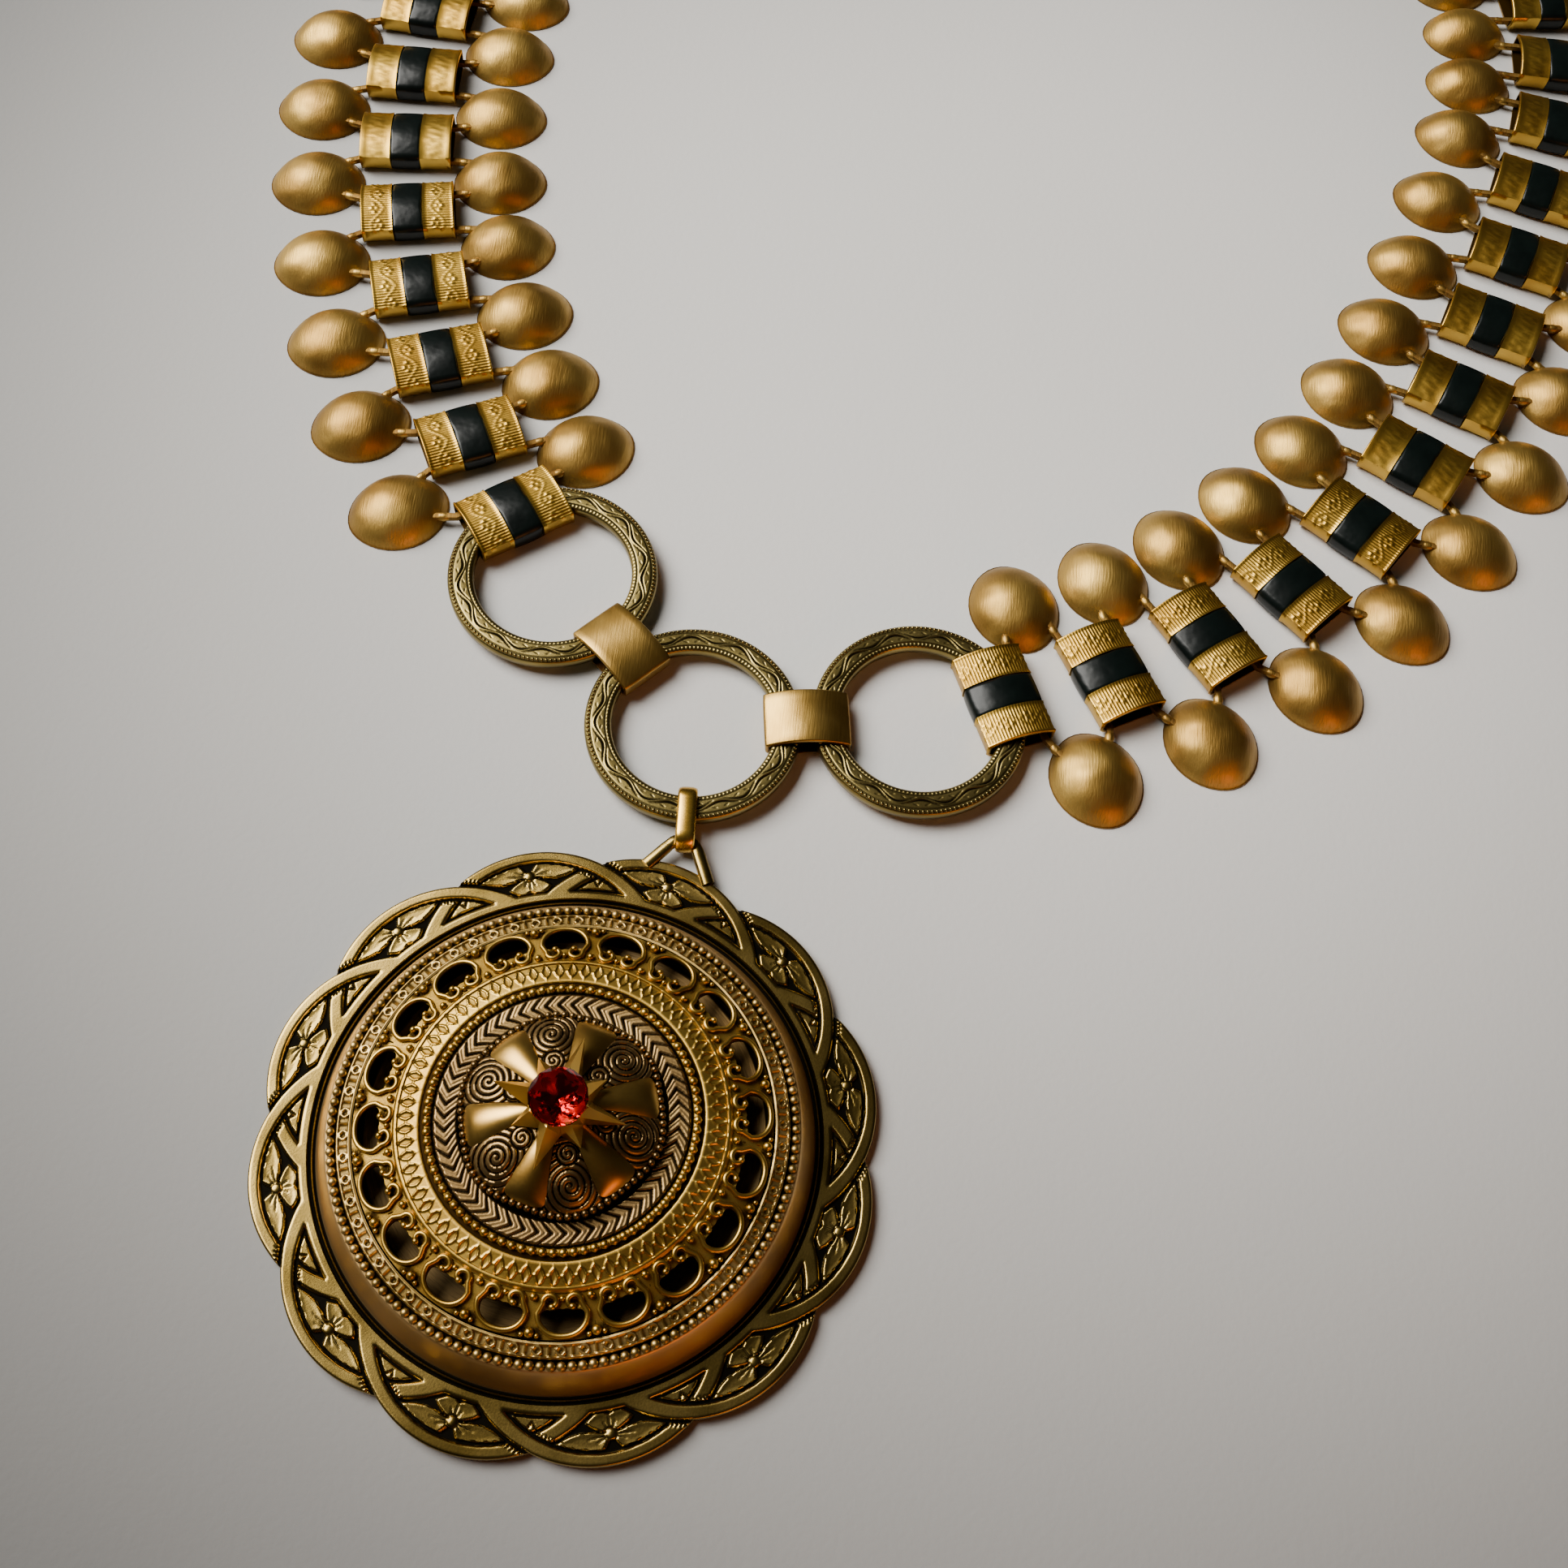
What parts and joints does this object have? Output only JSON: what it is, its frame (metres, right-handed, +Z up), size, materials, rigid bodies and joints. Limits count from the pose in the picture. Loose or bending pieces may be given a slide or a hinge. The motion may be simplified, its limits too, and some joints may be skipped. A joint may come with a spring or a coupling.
{
  "type": "livery collar",
  "caption": "Closed loop of paired oval discs and banded sleeves laid flat, with engraved rings at the front and a round pierced medallion with a red stone.",
  "frame": {"origin": "middle of the laid-out collar's outline, on the surface it rests on", "axes": "+Z up from the surface, +Y from the medallion towards the back of the neck, +X to the wearer's left as the collar is seen from above"},
  "size_m": [0.1998, 0.2965, 0.0167],
  "materials": {
    "satin_gold": "satin gilt, fine grain",
    "gold": "polished gilt, worn to brass",
    "antique_brass": "satin with dark antiquing in the recesses",
    "engraved_brass": "engraved, dark in the cuts",
    "enamel": "dark glossy enamel",
    "red_stone": "cut and polished"
  },
  "bodies": {
    "root": {"medallion_base": "antique_brass", "pierced_disc": "gold", "boss": "antique_brass", "star_setting": "gold", "stone": "red_stone", "bail": "gold", "ring_left": "engraved_brass", "ring_middle": "engraved_brass", "ring_right": "engraved_brass", "connector_left": "satin_gold", "connector_right": "satin_gold", "sleeves_left": "gold", "sleeves_right": "gold", "enamel_left": "enamel", "enamel_right": "enamel", "clasp": "gold", "link_01": "satin_gold", "link_02": "satin_gold", "link_03": "satin_gold", "link_04": "satin_gold", "link_05": "satin_gold", "link_06": "satin_gold", "link_07": "satin_gold", "link_08": "satin_gold", "link_09": "satin_gold", "link_10": "satin_gold", "link_11": "satin_gold", "link_12": "satin_gold", "link_13": "satin_gold", "link_14": "satin_gold", "link_15": "satin_gold", "link_16": "satin_gold", "link_17": "satin_gold", "link_18": "satin_gold", "link_19": "satin_gold", "link_20": "satin_gold", "link_21": "satin_gold", "link_22": "satin_gold", "link_23": "satin_gold", "link_24": "satin_gold", "link_25": "satin_gold", "link_26": "satin_gold", "link_27": "satin_gold", "link_28": "satin_gold", "link_29": "satin_gold", "link_30": "satin_gold", "link_31": "satin_gold", "link_32": "satin_gold", "link_33": "satin_gold", "link_34": "satin_gold", "link_35": "satin_gold", "link_36": "satin_gold", "link_37": "satin_gold", "link_38": "satin_gold"}
  },
  "joints": []
}
